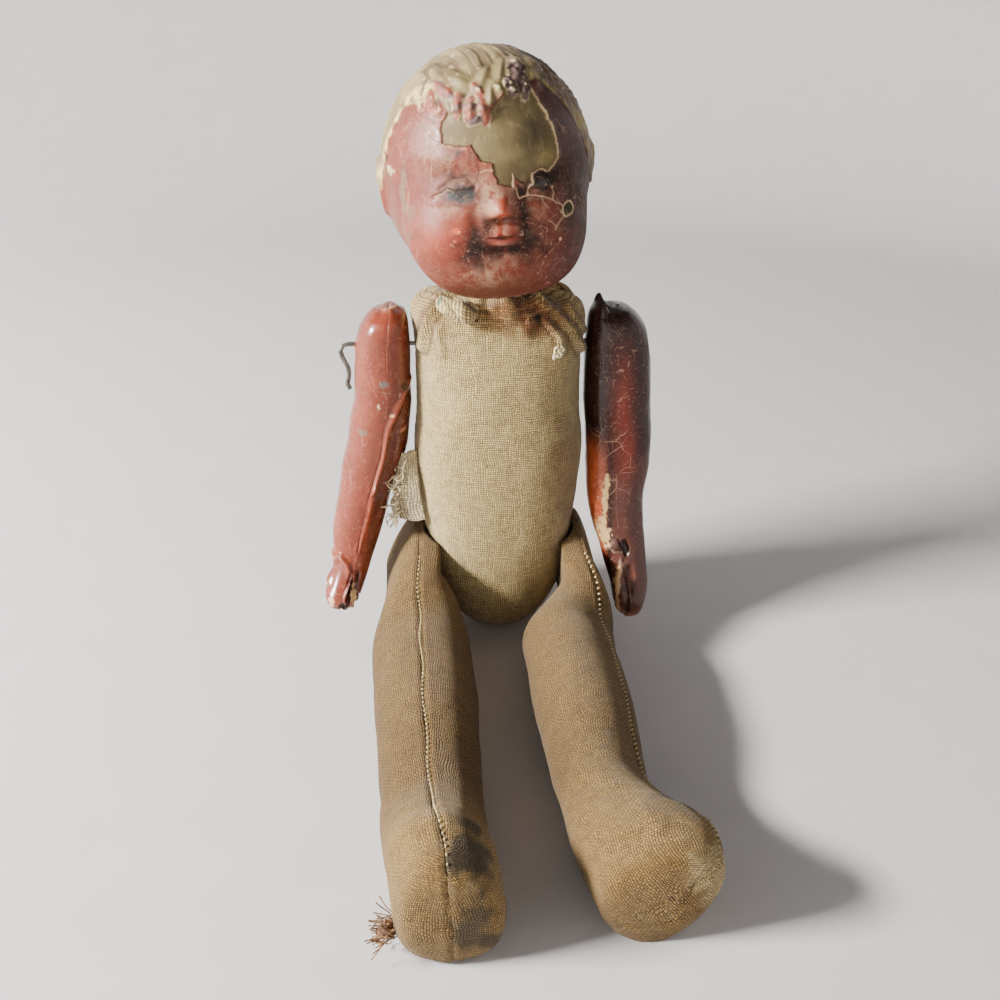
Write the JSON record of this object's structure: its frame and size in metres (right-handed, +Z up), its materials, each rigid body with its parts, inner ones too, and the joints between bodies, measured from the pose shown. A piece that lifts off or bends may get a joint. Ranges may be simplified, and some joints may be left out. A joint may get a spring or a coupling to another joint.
{
  "type": "composition doll",
  "caption": "Seated old doll with a hollow composition head and arms, a stuffed muslin torso and long stuffed cloth legs; head, shoulders and hips turn.",
  "frame": {"origin": "centre of the flat patch of cloth that the seated doll rests on", "axes": "+Z up, the doll faces -Y with its legs along -Y, and its right side is at -X"},
  "size_m": [0.1004, 0.1837, 0.1729],
  "materials": {
    "skin": "glossy painted composition, crazed and chipped",
    "hair": "worn painted composition",
    "muslin": "plain-weave cream muslin, stained",
    "stocking": "plain-weave brown cotton, faded",
    "stuffing": "packed cotton waste",
    "card": "plain card",
    "steel": "dull grey wire",
    "thread": "cotton thread"
  },
  "bodies": {
    "torso": {"torso_front_cloth": "muslin", "torso_back_cloth": "muslin", "torso_stuffing": "stuffing", "right_shoulder_disc": "card", "left_shoulder_disc": "card", "right_hip_body_disc": "card", "left_hip_body_disc": "card", "right_hip_body_washer": "steel", "left_hip_body_washer": "steel", "right_hip_pin": "steel", "left_hip_pin": "steel", "neck_string": "thread", "neck_hem": "muslin", "neck_cloth_roll": "muslin", "chest_thread_knot": "thread", "side_tab": "muslin", "shoulder_wire": "steel"},
    "head": {"head_front": "skin", "head_back": "hair"},
    "right_arm": {"right_arm_outer_half": "skin", "right_arm_inner_half": "skin"},
    "left_arm": {"left_arm_outer_half": "skin", "left_arm_inner_half": "skin"},
    "right_leg": {"right_leg_outer_panel": "stocking", "right_leg_inner_panel": "stocking", "right_leg_stuffing": "stuffing", "right_leg_seam_thread": "thread", "right_hip_leg_disc": "card", "right_hip_leg_washer": "steel", "heel_tuft": "stocking"},
    "left_leg": {"left_leg_outer_panel": "stocking", "left_leg_inner_panel": "stocking", "left_leg_stuffing": "stuffing", "left_leg_seam_thread": "thread", "left_hip_leg_disc": "card", "left_hip_leg_washer": "steel"}
  },
  "joints": [
    {"name": "neck_turn", "type": "hinge", "parent": "torso", "child": "head", "pos_m": [0, 0.00574, 0.104], "axis": [0, 0, 1], "range_deg": [-45, 45]},
    {"name": "right_shoulder", "type": "hinge", "parent": "torso", "child": "right_arm", "pos_m": [-0.0358, 0.004, 0.0904], "axis": [-1, 0, 0], "range_deg": [-60, 130]},
    {"name": "left_shoulder", "type": "hinge", "parent": "torso", "child": "left_arm", "pos_m": [0.0358, 0.004, 0.0904], "axis": [-1, 0, 0], "range_deg": [-60, 130]},
    {"name": "right_hip", "type": "hinge", "parent": "torso", "child": "right_leg", "pos_m": [-0.023, 0.002, 0.018], "axis": [-1, 0, 0], "range_deg": [-95, 10]},
    {"name": "left_hip", "type": "hinge", "parent": "torso", "child": "left_leg", "pos_m": [0.023, 0.002, 0.018], "axis": [-1, 0, 0], "range_deg": [-95, 10]}
  ]
}
